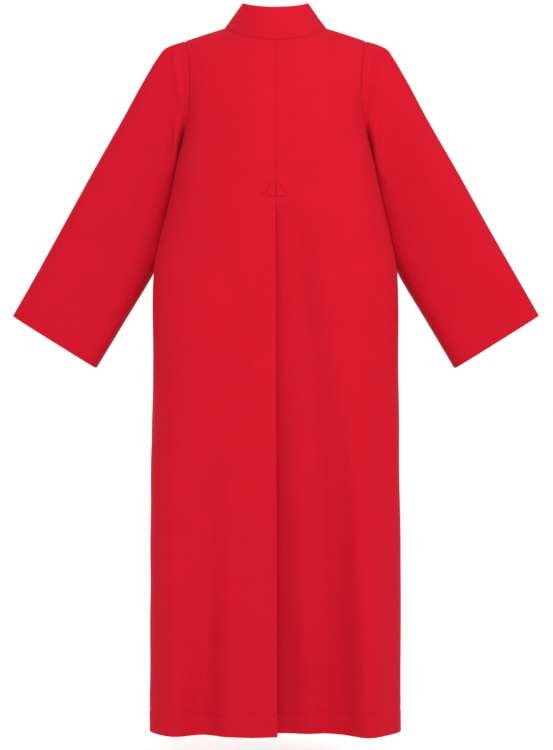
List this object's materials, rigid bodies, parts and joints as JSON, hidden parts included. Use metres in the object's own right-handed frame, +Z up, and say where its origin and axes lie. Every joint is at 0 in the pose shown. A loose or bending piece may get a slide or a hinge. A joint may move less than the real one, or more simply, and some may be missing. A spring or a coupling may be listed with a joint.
{
  "type": "cassock, worn hollow with no wearer",
  "caption": "Ankle-length robe in plain woven cloth, with a stand collar, buttoned front, wide set-in sleeves and a deep pleat down the centre back, in the hollow form it has when worn.",
  "frame": {"origin": "middle of the neck, level with the two points where the shoulder seams meet the collar", "axes": "+Z up along the robe, the front faces -Y and the back faces +Y, +X towards the wearer's left"},
  "size_m": [1.0674, 0.2386, 1.4505],
  "materials": {
    "cloth": "fine plain weave in scarlet, matt with a slight sheen",
    "button": "domed buttons covered in the same scarlet cloth"
  },
  "bodies": {
    "root": {"back_left": "cloth", "back_right": "cloth", "front_left": "cloth", "front_right": "cloth", "sleeve_left_back": "cloth", "sleeve_left_front": "cloth", "sleeve_right_back": "cloth", "sleeve_right_front": "cloth", "collar": "cloth", "button_01": "button", "button_02": "button", "button_03": "button", "button_04": "button", "button_05": "button", "button_06": "button", "button_07": "button", "button_08": "button", "button_09": "button", "button_10": "button", "button_11": "button", "button_12": "button"}
  },
  "joints": []
}
